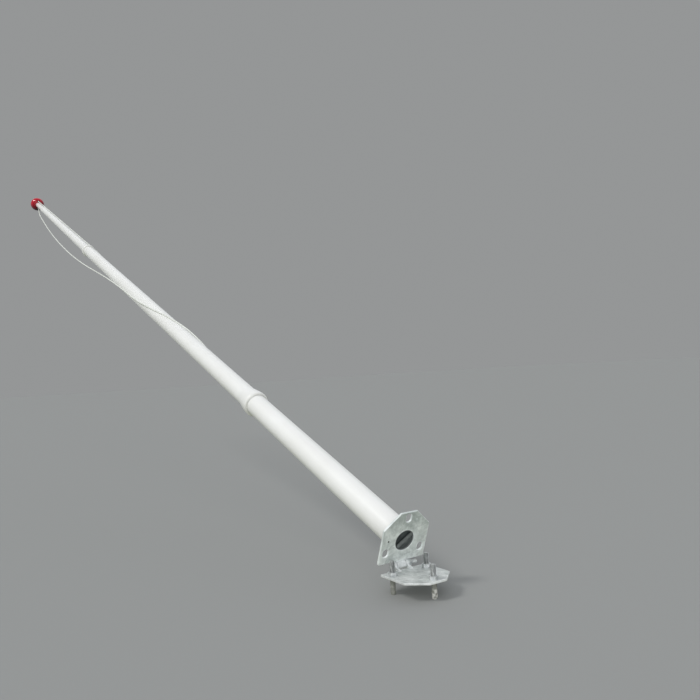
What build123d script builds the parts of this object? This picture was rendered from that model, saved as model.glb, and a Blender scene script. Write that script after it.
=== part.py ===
"""Tilting garden flagpole: three glass-fibre sections on a hinged, galvanised foot.

Millimetres. The origin is the centre of the bolt circle on the underside of the ground
plate, +Z is up, the hinge pin runs along Y at the rear and the pole leans back over -X.
Everything on the pole is drawn upright, with u towards the front and t up the pole from
the underside of the flange, and is then leaned back about the hinge pin in one turn.
"""
from math import cos, pi, radians, sin, sqrt, tan
import os

from build123d import *

# How the pole stands
pole_angle = 22.0            # above the ground, as it is being raised
lean = 90.0 - pole_angle

# Ground plate and flange share one outline
plate_thickness = 6.0
plate_half_width = 80.0
plate_rear = -66.0
plate_front = 90.0
plate_front_half = 29.0
plate_chamfer_x = 43.0
plate_corner_radius = 4.0

# Anchor rods and the spacer nuts that the flange comes down on
stud_circle = 140.0
stud_radius = 8.0
thread_radius = 7.75         # cut under size, to leave room for the zinc
stud_above = 40.5
stud_below = 45.0
stud_hole_gap = 0.2
stud_chamfer = 1.5
nut_flats = 24.0
nut_height = 10.5
nut_thread_gap = 0.1

# Hinge
hinge_x = -79.0
hinge_z = 15.5
pin_radius = 6.0
knuckle_radius = 11.0
knuckle_length = 30.0
knuckle_clearance = 0.08
ear_thickness = 8.0
ear_side_gap = 2.0
ear_hole_gap = 0.2
ear_foot_reach = 14.0
ear_foot_height = 8.0
pin_head_flats = 19.0
pin_head_height = 7.5
pin_nut_height = 10.8
pin_tail = 22.0

# Flange on the foot of the pole
flange_seat_gap = 0.3
flange_hole_radius = 32.0
slot_width = 20.0
slot_end_gap = 1.5

# Stub tube and plug in the foot
stub_wall = 4.0
stub_height = 150.0
stub_gap = 0.3
plug_gap = 0.3
plug_recess = 4.0
plug_lip = 3.0
plug_rib_width = 9.0
plug_rib_depth = 3.0

# Pole sections: outer radii and the places of the joints up the pole
wall = 3.5
foot_radius = 43.4
base_top_radius = 41.2
middle_foot_radius = 40.6
middle_top_radius = 35.0
top_foot_radius = 30.2
tip_radius = 20.5
joint_1 = 996.0
joint_2 = 3870.0
tube_end = 5954.0

# Bells: the flared foot of each upper section, over the end of the one below
bell_depth = 54.0
bell_flare = 88.0
bell_clearance = 0.4
bell_1_rise = 10.0           # of the rim, above the section below
bell_2_rise = 8.5
bell_crest = 26.0            # from the rim to where the flare starts to fall
bell_crest_drop = 1.2
bell_round = 60.0
rim_round = 4.0

# Ball truck on the tip
ball_radius = 60.0
ball_wall = 4.0
ball_floor_depth = 36.0
ball_gap = 0.3
rope_slot_radial = 12.0
rope_slot_across = 20.0
cap_spigot = 50.0
cap_gap = 0.2
cap_collar_radius = 29.0
cap_collar_height = 4.0
cheek_width = 24.0
cheek_thickness = 3.0
sheave_width = 12.0
sheave_side_gap = 1.0
sheave_radius = 38.0
sheave_foot_gap = 4.0
axle_radius = 4.0
axle_gap = 0.06
axle_head_radius = 7.0
axle_head_height = 2.0

# Cleat, turned from the far side of the pole towards its underside
cleat_height = 1350.0
cleat_turn = 45.0
cleat_pad_width = 26.0
cleat_pad_length = 62.0
cleat_pad_thickness = 4.0
cleat_stem_width = 14.0
cleat_stem_length = 34.0
cleat_stem_height = 18.0
cleat_horn_length = 124.0
cleat_horn_width = 12.0
cleat_horn_height = 9.0
cleat_gap = 0.3

# Halyard
rope_radius = 3.5
rope_offset = 34.0
groove_gap = 0.3
hitch_width = 36.0
hitch_length = 52.0
hitch_thickness = 9.0
hitch_gap = 0.4
hitch_lift = 2.5

# Slack strand: out of the truck, down in a long bow, and back to the near side of the pole
slack_route = [
    (-34.0, 0.0, 5958.0), (-34.0, 0.0, 5937.0), (-44.0, 0.0, 5919.0), (-61.0, 0.0, 5896.0),
    (-79.0, 0.0, 5857.0), (-91.0, 0.0, 5790.0), (-102.0, 0.0, 5702.0), (-112.5, 0.0, 5604.0),
    (-122.0, -0.2, 5506.0), (-130.5, -0.5, 5407.0), (-138.0, -0.8, 5307.0), (-144.0, -1.1, 5207.0),
    (-148.5, -1.5, 5107.0), (-151.0, -1.9, 5007.0), (-152.5, -2.4, 4907.0), (-153.0, -3.0, 4807.0),
    (-152.5, -3.7, 4707.0), (-151.0, -4.5, 4607.0), (-148.5, -5.4, 4507.0), (-145.0, -6.4, 4407.0),
    (-140.0, -7.6, 4307.0), (-134.0, -9.0, 4208.0), (-127.0, -10.6, 4109.0), (-119.0, -12.4, 4010.0),
    (-110.0, -14.4, 3911.0), (-100.5, -16.6, 3812.0), (-90.0, -19.0, 3714.0), (-79.5, -21.6, 3616.0),
    (-68.5, -24.4, 3518.0), (-57.5, -27.4, 3420.0), (-46.5, -30.6, 3322.0), (-36.0, -34.0, 3224.0),
    (-26.5, -37.2, 3127.0), (-18.0, -39.6, 3030.0), (-11.5, -41.0, 2933.0),
]

# Laid strand: along the near side, over the top and round the far side to the cleat
laid_route = [
    (-11.5, -41.0, 2933.0), (-5.0, -42.4, 2836.0), (-2.4, -42.4, 2741.0), (0.6, -42.4, 2646.0),
    (4.6, -42.6, 2550.0), (12.0, -41.4, 2456.0), (20.2, -38.4, 2364.0), (28.4, -33.4, 2274.0),
    (36.0, -25.6, 2186.0), (41.8, -14.2, 2100.0), (44.0, -0.6, 2016.0), (42.1, 13.7, 1930.0),
    (35.1, 27.5, 1840.0), (23.7, 38.0, 1748.0), (9.4, 44.1, 1655.0), (-5.6, 45.5, 1562.0),
    (-18.9, 43.5, 1476.0), (-27.1, 41.8, 1432.0), (-32.5, 39.6, 1402.0), (-32.5, 39.6, 1376.0),
]

# Taut strand: from the cleat up the far side, over the second bell and in at the truck
taut_route = [
    (-39.6, 32.5, 1376.0), (-39.6, 32.5, 1400.0), (5.0, 49.2, 3790.0), (7.0, 48.4, 3950.0),
    (34.0, 0.0, 5936.0), (34.0, 0.0, 5958.0),
]


def radius_between(height, low, low_radius, high, high_radius):
    """Outer radius of a straight taper at a height up the pole."""
    return low_radius + (high_radius - low_radius) * (height - low) / (high - low)


def turned(points, rounds):
    """Solid of revolution about the pole's axis, from a closed profile of (radius, height)."""
    profile = FilletPolyline(*[(radius, 0, height) for radius, height in points], radius=rounds, close=True)
    return revolve(Face(profile.wire()), Axis.Z)


def plate_blank(height):
    """The plate that the ground plate and the flange are both cut from."""
    corners = [
        (plate_rear, -plate_half_width), (plate_chamfer_x, -plate_half_width),
        (plate_front, -plate_front_half), (plate_front, plate_front_half),
        (plate_chamfer_x, plate_half_width), (plate_rear, plate_half_width),
    ]
    with BuildPart() as plate:
        with BuildSketch(Plane.XY.offset(height)):
            with BuildLine():
                FilletPolyline(*corners, radius=plate_corner_radius, close=True)
            make_face()
        extrude(amount=plate_thickness)
    return plate.part


def hex_nut(flats, height, bore):
    """Plain hexagon nut standing on the origin, its corners turned off at 30 degrees."""
    corner = flats / sqrt(3)
    turn_off = (corner - flats / 2) * tan(radians(30))
    with BuildPart() as nut:
        with BuildSketch():
            RegularPolygon(radius=flats / 2, side_count=6, major_radius=False)
            if bore > 0:
                Circle(bore, mode=Mode.SUBTRACT)
        extrude(amount=height)
    profile = [(0, 0), (flats / 2, 0), (corner, turn_off), (corner, height - turn_off),
               (flats / 2, height), (0, height)]
    return nut.part & turned(profile, 0)


def rope(route):
    """Round rope along straight runs joined by the largest arcs that the runs allow."""
    radii = []
    for before, corner, after in zip(route, route[1:], route[2:]):
        run_in = Vector(*corner) - Vector(*before)
        run_out = Vector(*after) - Vector(*corner)
        half_turn = radians(run_in.get_angle(run_out)) / 2
        radii.append(0.45 * min(run_in.length, run_out.length) / tan(half_turn))
    path = FilletPolyline(*route, radius=radii)
    section = Plane(origin=route[0], z_dir=path.wire() % 0) * Circle(rope_radius)
    solid = sweep(section, path=path)
    expected = pi * rope_radius ** 2 * path.wire().length
    print("rope", round(path.wire().length), "mm, smallest arc", round(min(radii)), "mm,",
          "volume", round(solid.volume), "expected", round(expected))
    return solid


# Places that follow from the sizes above
stud_places = [(stud_circle / 2 * cos(radians(a)), stud_circle / 2 * sin(radians(a)))
               for a in (0.0, -120.0, 120.0)]
stud_names = ["front", "left", "right"]
nut_top = plate_thickness + nut_height
flange_bottom = nut_top + flange_seat_gap
flange_top = flange_bottom + plate_thickness
seat = plate_thickness
ear_inner = knuckle_length / 2 + ear_side_gap
ear_outer = ear_inner + ear_thickness

ground = {}
pole = {}

# Ground plate, drilled for the three rods
with BuildPart() as ground_plate:
    add(plate_blank(0))
    with BuildSketch(Plane.XY):
        with Locations(*stud_places):
            Circle(stud_radius + stud_hole_gap)
    extrude(amount=plate_thickness, mode=Mode.SUBTRACT)
ground["ground_plate"] = ground_plate.part

# Anchor rods: a plain shank in the soil, and above it the thread, with a nut as the flange's seat
for name, (x, y) in zip(stud_names, stud_places):
    rod = Cylinder(stud_radius, stud_below, align=(Align.CENTER, Align.CENTER, Align.MAX))
    rod += Cylinder(thread_radius, plate_thickness + stud_above,
                    align=(Align.CENTER, Align.CENTER, Align.MIN))
    rings = rod.edges().filter_by(GeomType.CIRCLE).sort_by(Axis.Z)
    rod = chamfer([rings[0], rings[-1]], stud_chamfer)
    ground["anchor_rod_" + name] = Pos(x, y, 0) * rod
    nut = hex_nut(nut_flats, nut_height, thread_radius + nut_thread_gap)
    ground["spacer_nut_" + name] = Pos(x, y, plate_thickness) * nut

# Ears welded to the rear edge and the top of the ground plate
ear_foot_top = plate_thickness + ear_foot_height
for name, side in (("left", -1), ("right", 1)):
    with BuildPart() as ear:
        with BuildSketch(Plane.XZ.offset(ear_inner if side < 0 else -ear_outer)):
            with Locations((hinge_x, hinge_z)):
                Circle(knuckle_radius)
            with BuildLine():
                Polyline((hinge_x - knuckle_radius, hinge_z), (hinge_x - knuckle_radius, plate_thickness),
                         (hinge_x - knuckle_radius / 2, 0), (plate_rear, 0),
                         (plate_rear, plate_thickness), (plate_rear + ear_foot_reach, plate_thickness),
                         (plate_rear + ear_foot_reach, plate_thickness + ear_foot_height / 3),
                         (plate_rear, ear_foot_top), (hinge_x + knuckle_radius, hinge_z), close=True)
            make_face()
            with Locations((hinge_x, hinge_z)):
                Circle(pin_radius + ear_hole_gap, mode=Mode.SUBTRACT)
        extrude(amount=ear_thickness)
    ground["hinge_ear_" + name] = ear.part

# Hinge bolt with its head on the left, and its nut on the right with thread left over
bolt_length = ear_outer * 2 + pin_nut_height + pin_tail
head = hex_nut(pin_head_flats, pin_head_height, 0)
along_y = Rot(-90, 0, 0)
shank = Cylinder(pin_radius, bolt_length, align=(Align.CENTER, Align.CENTER, Align.MIN))
shank = chamfer(shank.edges().filter_by(GeomType.CIRCLE).sort_by(Axis.Z)[-1], 1.2)
bolt_start = Pos(hinge_x, -ear_outer, hinge_z)
ground["hinge_bolt"] = bolt_start * along_y * (shank + Pos(0, 0, -pin_head_height) * head)
pin_nut = hex_nut(pin_head_flats, pin_nut_height, pin_radius + nut_thread_gap)
ground["hinge_nut"] = Pos(hinge_x, ear_outer, hinge_z) * along_y * pin_nut

# Flange: the slots let the rods swing through as the pole comes up
rod_top = plate_thickness + stud_above - hinge_z
flange_rise = flange_bottom - hinge_z


def slot_span(stud_x):
    """Where a slot starts and ends so that its rod passes through at every angle of the pole."""
    near = stud_x - stud_radius - slot_end_gap
    reach = stud_x + stud_radius - hinge_x
    angle = 0.0
    while (flange_rise + reach * sin(radians(angle))) / cos(radians(angle)) < rod_top:
        angle += 0.1
    crossing = reach / cos(radians(angle)) + flange_rise * tan(radians(angle))
    return near, hinge_x + crossing + slot_end_gap


slot_length = max(far - near for near, far in (slot_span(x) for x, y in stud_places))
with BuildPart() as flange:
    add(plate_blank(flange_bottom))
    with BuildSketch(Plane.XY.offset(flange_bottom)):
        Circle(flange_hole_radius)
        for x, y in stud_places:
            with Locations((sum(slot_span(x)) / 2, y)):
                SlotOverall(slot_length, slot_width)
    extrude(amount=plate_thickness, mode=Mode.SUBTRACT)
pole["flange_plate"] = flange.part

# Knuckle: a short tube on a tab that is welded to the rear edge of the flange
with BuildPart() as knuckle:
    with BuildSketch(Plane.XZ.offset(-knuckle_length / 2)):
        with Locations((hinge_x, hinge_z)):
            Circle(knuckle_radius)
        with BuildLine():
            Polyline((hinge_x, flange_bottom), (plate_rear, flange_bottom),
                     (plate_rear, flange_top), (hinge_x, hinge_z + knuckle_radius), close=True)
        make_face()
        with Locations((hinge_x, hinge_z)):
            Circle(pin_radius + knuckle_clearance, mode=Mode.SUBTRACT)
    extrude(amount=knuckle_length)
pole["hinge_knuckle"] = knuckle.part

# Stub tube welded on the flange, inside the foot of the pole
foot_inside = radius_between(stub_height + seat, seat, foot_radius, joint_1 + bell_depth, base_top_radius) - wall
stub_radius = foot_inside - stub_gap
pole["foot_stub"] = Pos(0, 0, flange_bottom) * turned(
    [(stub_radius - stub_wall, seat), (stub_radius, seat),
     (stub_radius, seat + stub_height), (stub_radius - stub_wall, seat + stub_height)], 0)

# Plug that closes the hole in the flange, with a rib across its face
plug_radius = flange_hole_radius - plug_gap
with BuildPart() as plug:
    with BuildSketch(Plane.XY.offset(plug_recess)):
        Circle(plug_radius)
    extrude(amount=seat - plug_recess)
    with BuildSketch(Plane.XY.offset(seat)):
        Circle(stub_radius - stub_wall - plug_gap)
    extrude(amount=plug_lip)
    with BuildSketch(Plane.XY.offset(plug_recess - plug_rib_depth)):
        Rectangle(plug_rib_width, 2 * plug_radius * 0.9)
    extrude(amount=plug_rib_depth)
pole["foot_plug"] = Pos(0, 0, flange_bottom) * plug.part

# Base section: a plain tapered tube that stands on the flange
base_end = joint_1 + bell_depth
pole["base_section"] = Pos(0, 0, flange_bottom) * turned(
    [(foot_radius - wall, seat), (foot_radius, seat),
     (base_top_radius, base_end), (base_top_radius - wall, base_end)], 0)


def belled_section(joint, lower_radius, rise, foot, top_end, top_outer):
    """Tapered tube whose foot swells into a bell over the end of the section below."""
    bore = lower_radius + bell_clearance
    bell_top = joint + bell_depth
    rim = lower_radius + rise
    profile = [
        (bore, joint), (rim, joint), (rim - bell_crest_drop, joint + bell_crest),
        (foot, joint + bell_flare), (top_outer, top_end), (top_outer - wall, top_end),
        (foot - wall, joint + bell_flare), (bore, bell_top + wall / 2),
    ]
    rounds = [0, rim_round, bell_round, bell_round, 0, 0, bell_round / 10, 0]
    return Pos(0, 0, flange_bottom) * turned(profile, rounds)


base_at_joint = radius_between(joint_1, seat, foot_radius, base_end, base_top_radius)
middle_end = joint_2 + bell_depth
middle_start = joint_1 + bell_flare
middle_at_joint = radius_between(joint_2, middle_start, middle_foot_radius, middle_end, middle_top_radius)
pole["middle_section"] = belled_section(
    joint_1, base_at_joint, bell_1_rise, middle_foot_radius, middle_end, middle_top_radius)
pole["top_section"] = belled_section(
    joint_2, middle_at_joint, bell_2_rise, top_foot_radius, tube_end, tip_radius)

# Truck cap: a spigot in the tip, a collar on it and two cheeks that carry the sheave
cheek_inner = sheave_width / 2 + sheave_side_gap
cheek_outer = cheek_inner + cheek_thickness
collar_top = tube_end + cap_collar_height
sheave_height = collar_top + sheave_foot_gap + sheave_radius
with BuildPart() as cap:
    with BuildSketch(Plane.XY.offset(tube_end - cap_spigot)):
        Circle(tip_radius - wall - cap_gap)
    extrude(amount=cap_spigot)
    with BuildSketch(Plane.XY.offset(tube_end)):
        Circle(cap_collar_radius)
    extrude(amount=cap_collar_height)
    for side in (-cheek_outer, cheek_inner):
        with BuildSketch(Plane.XZ.offset(-side)):
            with Locations((0, (collar_top + sheave_height) / 2)):
                Rectangle(cheek_width, sheave_height - collar_top)
            with Locations((0, sheave_height)):
                Circle(cheek_width / 2)
                Circle(axle_radius + axle_gap, mode=Mode.SUBTRACT)
        extrude(amount=-cheek_thickness)
pole["truck_cap"] = Pos(0, 0, flange_bottom) * cap.part

# Sheave with a round groove, and its axle with a head at each end
upright_wheel = Pos(0, 0, sheave_height) * Rot(90, 0, 0)
sheave = Cylinder(sheave_radius, sheave_width) - Cylinder(axle_radius + axle_gap, sheave_width)
sheave -= Torus(rope_offset, rope_radius + groove_gap)
groove_mouth = Cylinder(sheave_radius + 1, 2 * (rope_radius + groove_gap))
groove_mouth -= Cylinder(rope_offset, 2 * (rope_radius + groove_gap))
pole["halyard_sheave"] = Pos(0, 0, flange_bottom) * upright_wheel * (sheave - groove_mouth)
axle = Cylinder(axle_radius, 2 * cheek_outer)
for side in (-1, 1):
    axle += Pos(0, 0, side * (cheek_outer + axle_head_height / 2)) * Cylinder(axle_head_radius, axle_head_height)
pole["sheave_axle"] = Pos(0, 0, flange_bottom) * upright_wheel * axle

# Ball: a hollow shell with a flat floor, pierced for the tip and for the two rope strands
ball_floor = tube_end - ball_wall
ball_centre = ball_floor + ball_floor_depth
with BuildPart() as ball:
    with Locations((0, 0, ball_centre)):
        Sphere(ball_radius)
    with Locations((0, 0, ball_floor)):
        Box(3 * ball_radius, 3 * ball_radius, ball_radius,
            align=(Align.CENTER, Align.CENTER, Align.MAX), mode=Mode.SUBTRACT)
    with BuildPart(mode=Mode.SUBTRACT):
        with Locations((0, 0, ball_centre)):
            Sphere(ball_radius - ball_wall)
        with Locations((0, 0, ball_floor + ball_wall)):
            Box(3 * ball_radius, 3 * ball_radius, ball_radius,
                align=(Align.CENTER, Align.CENTER, Align.MAX), mode=Mode.SUBTRACT)
    with BuildSketch(Plane.XY.offset(ball_floor)):
        Circle(tip_radius + ball_gap)
        with Locations((-rope_offset, 0), (rope_offset, 0)):
            RectangleRounded(rope_slot_radial, rope_slot_across, rope_slot_radial / 2 - 0.5)
    extrude(amount=ball_wall, mode=Mode.SUBTRACT)
pole["truck_ball"] = Pos(0, 0, flange_bottom) * ball.part

# Horn cleat, drawn on the far side and then turned: a pad curved to the pole, a stem and two horns that lift towards their ends
pole_at_cleat = radius_between(cleat_height, middle_start, middle_foot_radius, middle_end, middle_top_radius)
pad_face = pole_at_cleat + cleat_pad_thickness
stem_top = pad_face + cleat_stem_height
with BuildPart() as cleat:
    with BuildSketch(Plane.XZ.offset(-pole_at_cleat * 0.8)):
        with Locations((0, cleat_height)):
            RectangleRounded(cleat_pad_width, cleat_pad_length, cleat_pad_width / 2 - 1)
    extrude(amount=-(pad_face - pole_at_cleat * 0.8))
    with BuildSketch(Plane.XZ.offset(-pad_face)):
        with Locations((0, cleat_height)):
            RectangleRounded(cleat_stem_width, cleat_stem_length, cleat_stem_width / 2 - 1)
    extrude(amount=-cleat_stem_height)
    with BuildSketch(Plane.YZ.offset(-cleat_horn_width / 2)):
        with BuildLine():
            low = ThreePointArc((stem_top + 5, cleat_height - cleat_horn_length / 2),
                                (stem_top - 2, cleat_height),
                                (stem_top + 5, cleat_height + cleat_horn_length / 2))
            high = ThreePointArc(low @ 0 + (5, 0, 0), (stem_top + cleat_horn_height, cleat_height),
                                 low @ 1 + (5, 0, 0))
            Line(low @ 0, high @ 0)
            Line(low @ 1, high @ 1)
        make_face()
    extrude(amount=cleat_horn_width)
    with Locations((0, 0, cleat_height)):
        Cylinder(pole_at_cleat + cleat_gap, 2 * cleat_pad_length, mode=Mode.SUBTRACT)
pole["halyard_cleat"] = Pos(0, 0, flange_bottom) * Rot(0, 0, cleat_turn) * cleat.part

# Hitch: the turns of rope round the stem of the cleat, as one plain ring
with BuildPart() as hitch:
    with BuildSketch(Plane.XZ.offset(-(pad_face + hitch_lift))):
        with Locations((0, cleat_height)):
            RectangleRounded(hitch_width, hitch_length, hitch_width / 4)
            RectangleRounded(cleat_stem_width + 2 * hitch_gap, cleat_stem_length + 2 * hitch_gap,
                             cleat_stem_width / 2 - 1, mode=Mode.SUBTRACT)
    extrude(amount=-hitch_thickness)
pole["halyard_hitch"] = Pos(0, 0, flange_bottom) * Rot(0, 0, cleat_turn) * hitch.part

# Halyard: the turn over the sheave, and the three strands outside the truck
with BuildPart() as turn:
    with BuildLine():
        rise = Line((rope_offset, 0, collar_top), (rope_offset, 0, sheave_height))
        over = ThreePointArc(rise @ 1, (0, 0, sheave_height + rope_offset), (-rope_offset, 0, sheave_height))
        Line(over @ 1, (-rope_offset, 0, collar_top))
    with BuildSketch(Plane(origin=rise @ 0, z_dir=(0, 0, 1))):
        Circle(rope_radius)
    sweep()
pole["halyard_turn"] = Pos(0, 0, flange_bottom) * turn.part
pole["halyard_taut"] = Pos(0, 0, flange_bottom) * rope(taut_route)
pole["halyard_slack"] = Pos(0, 0, flange_bottom) * rope(slack_route)
pole["halyard_laid"] = Pos(0, 0, flange_bottom) * rope(laid_route)

# Lean the pole back about the hinge pin and write one file for each piece
hinge_axis = Axis((hinge_x, 0, hinge_z), (0, 1, 0))
os.makedirs("parts", exist_ok=True)
for name, piece in ground.items():
    export_step(piece, f"parts/{name}.step")
for name, piece in pole.items():
    export_step(piece.rotate(hinge_axis, -lean), f"parts/{name}.step")
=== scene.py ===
"""Tilting garden flagpole on its hinged, galvanised foot, dressed for the shelf.

Every shape is drawn in millimetres and goes into its mesh in metres, in the frame of the model.
"""
from math import cos, pi, radians, sin, sqrt

import bmesh
import bpy
import numpy as np
from mathutils import Matrix, Vector
from mathutils.geometry import delaunay_2d_cdt


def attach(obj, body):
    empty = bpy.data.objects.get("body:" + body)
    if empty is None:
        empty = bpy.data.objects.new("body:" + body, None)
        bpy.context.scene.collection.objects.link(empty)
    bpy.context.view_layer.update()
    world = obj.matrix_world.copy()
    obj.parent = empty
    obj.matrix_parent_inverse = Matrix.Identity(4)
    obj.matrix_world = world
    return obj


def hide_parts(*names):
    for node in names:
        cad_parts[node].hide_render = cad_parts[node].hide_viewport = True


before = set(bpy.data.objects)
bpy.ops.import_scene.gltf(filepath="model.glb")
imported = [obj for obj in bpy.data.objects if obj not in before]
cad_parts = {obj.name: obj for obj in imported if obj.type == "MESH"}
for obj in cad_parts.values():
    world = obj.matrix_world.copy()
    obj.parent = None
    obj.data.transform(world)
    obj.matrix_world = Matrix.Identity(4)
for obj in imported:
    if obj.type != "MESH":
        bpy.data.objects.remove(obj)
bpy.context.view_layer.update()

# The view: a low camera in front of the foot, looking up along the leaning pole, over a plain
# grey floor that the ends of the anchor rods stand on, under a high soft sun and an even sky.
eye = Vector((1.5610, -1.1937, 0.5789))
yaw, pitch, roll = radians(32.998), radians(1.646), radians(-3.302)
floor_height = -0.045
floor_reach = 60.0
floor_seen = (0.333, 0.339, 0.337)
floor_bounce = (0.28, 0.295, 0.215)  # what it throws back on the object, a little green
backdrop_seen = (0.300, 0.307, 0.309)
sky_light = (0.95, 0.98, 1.0)


def added(name, data):
    """A new object of the scene."""
    thing = bpy.data.objects.new(name, data)
    bpy.context.scene.collection.objects.link(thing)
    return thing


looking = Vector((-cos(yaw) * cos(pitch), sin(yaw) * cos(pitch), sin(pitch)))
level = looking.cross(Vector((0, 0, 1))).normalized()
plumb = level.cross(looking)
across = level * cos(roll) + plumb * sin(roll)
upward = plumb * cos(roll) - level * sin(roll)
camera = added("low_view", bpy.data.cameras.new("low_view"))
camera.data.sensor_width = 36.0
camera.data.lens = 36.094
camera.data.clip_end = 200.0
camera.matrix_world = Matrix.Translation(eye) @ Matrix((across, upward, -looking)).transposed().to_4x4()
bpy.context.scene.camera = camera
bpy.context.scene.view_settings.view_transform = "Standard"

for name, energy, spread, tint, direction in (
        ("high_sun", 0.95, 14, (1.0, 0.985, 0.95), (-0.25, -0.80, 1.0)),
        ("wide_lamp", 2.4, 70, (0.98, 0.99, 1.0), (1.0, -0.75, 0.17)),
        ("rear_lamp", 0.8, 100, (0.92, 0.96, 1.0), (-0.8, 0.9, 0.35))):
    lamp = added(name, bpy.data.lights.new(name, "SUN"))
    lamp.data.energy = energy
    lamp.data.angle = radians(spread)
    lamp.data.color = tint
    lamp.rotation_euler = Vector(direction).to_track_quat("Z", "Y").to_euler()

floor = added("pale_floor", bpy.data.meshes.new("pale_floor"))
floor.data.from_pydata([(x * floor_reach, y * floor_reach, floor_height)
                        for x, y in ((-1, -1), (1, -1), (1, 1), (-1, 1))], [], [(0, 1, 2, 3)])


def set_up(node, **values):
    """The node with its values. A value's name is a setting's in small letters, or an input's."""
    for name, value in values.items():
        if name[0].islower():
            setattr(node, name, value)
        else:
            node.inputs[name.replace("_", " ")].default_value = value
    return node


def new_finish(name, colour, roughness, **values):
    """A finish with its plain values on the shader, ready for the patterns that vary them."""
    finish = bpy.data.materials.new(name)
    finish.use_nodes = True
    shader = finish.node_tree.nodes["Principled BSDF"]
    return finish, set_up(shader, Base_Color=(*colour, 1.0), Roughness=roughness, **values)


def pattern(beside, kind, **values):
    """A new node beside another one."""
    return set_up(beside.id_data.nodes.new("ShaderNode" + kind), **values)


def wire(*ends):
    """Joins outputs to inputs, given as node, output, node, input and so on."""
    for source, out, target, into in zip(ends[::4], ends[1::4], ends[2::4], ends[3::4]):
        source.id_data.links.new(source.outputs[out], target.inputs[into])


def blended(beside, kind, factor, first, second):
    """Mix of two colours. Each of them, and the factor, is a plain value or a (node, output) pair."""
    mix = pattern(beside, "Mix", data_type="RGBA", blend_type=kind)
    for value, place in ((factor, 0), (first, 6), (second, 7)):
        if isinstance(value, float):
            mix.inputs[place].default_value = value
        elif isinstance(value[0], float):
            mix.inputs[place].default_value = (*value, 1.0)
        else:
            wire(*value, mix, place)
    return mix, 2


def straight_rays(beside):
    """1 for rays from the camera or from a mirror or through glass, 0 for those that light things."""
    rays = pattern(beside, "LightPath")
    seen, found = (pattern(beside, "Math", operation="MAXIMUM") for _ in range(2))
    wire(rays, "Is Camera Ray", seen, 0, rays, "Is Glossy Ray", seen, 1,
         seen, "Value", found, 0, rays, "Is Transmission Ray", found, 1)
    return found, "Value"


paint, shader = new_finish("floor_paint", floor_seen, 0.95, Specular_IOR_Level=0.0)
wire(*blended(shader, "MIX", straight_rays(shader), floor_bounce, floor_seen), shader, "Base Color")
floor.data.materials.append(paint)

world = bpy.data.worlds.new("even_sky")
bpy.context.scene.world = world
world.use_nodes = True
sky = set_up(world.node_tree.nodes["Background"], Color=(*sky_light, 1.0), Strength=0.45)
backdrop = pattern(sky, "Background", Color=(*backdrop_seen, 1.0))
either = pattern(sky, "MixShader")
wire(*straight_rays(sky), either, 0, sky, 0, either, 1, backdrop, 0, either, 2,
     either, 0, world.node_tree.nodes["World Output"], "Surface")

# Ground plate: a 6 mm steel plate with its front corners sheared off, drilled for the three
# anchor rods and hot-dip galvanised, so its zinc is mottled, and rubbed bright along the edges.
plate_thickness = 6.0
plate_half_width = 80.0
plate_rear = -66.0
plate_front = 90.0
plate_front_half = 29.0
plate_chamfer_x = 43.0
plate_corner_radius = 4.0
stud_circle = 140.0
stud_hole = 8.2
stud_names = ("front", "left", "right")
stud_places = [(stud_circle / 2 * cos(radians(a)), stud_circle / 2 * sin(radians(a)))
               for a in (0.0, -120.0, 120.0)]
edge_round = 0.9
edge_rub = 2.6


def unit(vectors):
    """The vectors, each at length 1."""
    return vectors / np.linalg.norm(vectors, axis=-1, keepdims=True)


def rounded_outline(corners, radii, steps=7):
    """Closed outline through the corners: each one turns on an arc of its radius, whose centre lies
    on the bisector at radius / sin(half the corner's angle), swept from one tangent point to the next."""
    corners = np.asarray(corners, float)
    radii = np.broadcast_to(np.asarray(radii, float), len(corners))[:, None]
    back = unit(np.roll(corners, 1, 0) - corners)
    ahead = unit(np.roll(corners, -1, 0) - corners)
    half = np.arccos(np.clip((back * ahead).sum(1, keepdims=True), -1, 1)) / 2
    centre = corners + unit(back + ahead) * radii / np.sin(half)
    start = corners + back * radii / np.tan(half) - centre
    end = corners + ahead * radii / np.tan(half) - centre
    turn = pi - 2 * half[:, :, None]
    share = np.linspace(0, 1, steps)[None, :, None]
    arc = (np.sin((1 - share) * turn) * start[:, None] + np.sin(share * turn) * end[:, None]) / np.sin(turn)
    return (centre[:, None] + arc).reshape(-1, 2)


def circle(count):
    """The angles of a whole turn, as one row."""
    return np.linspace(0, 2 * pi, count, endpoint=False)[None]


def ring_outline(x, y, radius, count=48):
    """Closed circle: x + radius cos a, y + radius sin a."""
    angle = circle(count)[0]
    return np.stack([x + radius * np.cos(angle), y + radius * np.sin(angle)], -1)


def swept(radius, height, angle):
    """Grid of a turned shape: radius cos a, radius sin a and the height, over rows and angles."""
    return np.stack(np.broadcast_arrays(radius * np.cos(angle), radius * np.sin(angle), height), -1)


def quads(rows, columns, wrap_rows=False):
    """Corner numbers of the faces of a grid of rings, the last of which may join the first."""
    i, j = np.meshgrid(np.arange(rows - (not wrap_rows)), np.arange(columns), indexing="ij")
    i_next, j_next = (i + 1) % rows, (j + 1) % columns
    corners = [i * columns + j, i * columns + j_next, i_next * columns + j_next, i_next * columns + j]
    return np.stack(corners, -1).reshape(-1, 4)


def with_wear(grid, wear):
    """The grid with its wear as a fourth number of each point."""
    return np.concatenate([grid, np.broadcast_to(wear, grid.shape[:2])[..., None]], -1)


def skin(grid, wrap_rows=False):
    """A grid of rings, with wear or without, as points and faces."""
    if grid.shape[-1] == 3:
        grid = with_wear(grid, 0.0)
    return grid.reshape(-1, 4), quads(*grid.shape[:2], wrap_rows)


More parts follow.
